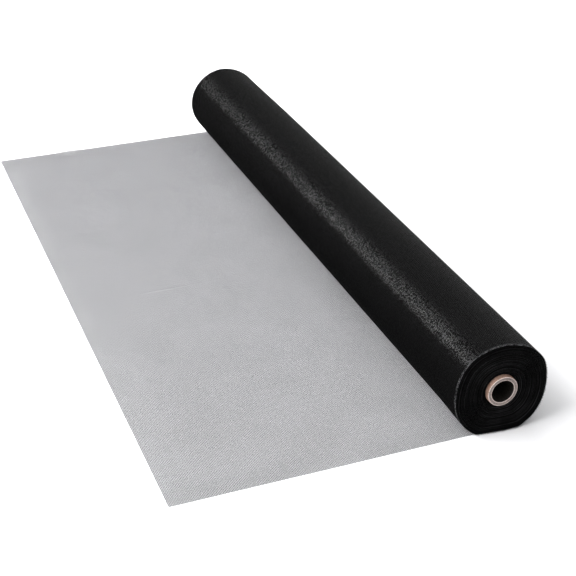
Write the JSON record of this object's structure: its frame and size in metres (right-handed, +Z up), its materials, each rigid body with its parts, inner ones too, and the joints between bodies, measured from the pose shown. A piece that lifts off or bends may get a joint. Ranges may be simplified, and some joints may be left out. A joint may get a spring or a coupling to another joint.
{
  "type": "roll of fiberglass insect screen",
  "caption": "Roll of black fiberglass insect screen wound on a cardboard tube, its free end drawn out flat over the floor from under the roll.",
  "frame": {"origin": "on the floor below the roll's axis, halfway along the cloth's width, at the underside of the drawn-out sheet", "axes": "+Y along the roll and its tube, from the near end in the picture to the far end; +Z up; the drawn-out sheet runs towards -X"},
  "size_m": [0.4259, 0.922, 0.1062],
  "materials": {
    "tube_cardboard": "matte",
    "screen_cloth_wound": "satin",
    "screen_cloth_loose": "satin"
  },
  "bodies": {
    "root": {"core_tube": "tube_cardboard", "wound_roll": "screen_cloth_wound", "loose_sheet": "screen_cloth_loose"}
  },
  "joints": []
}
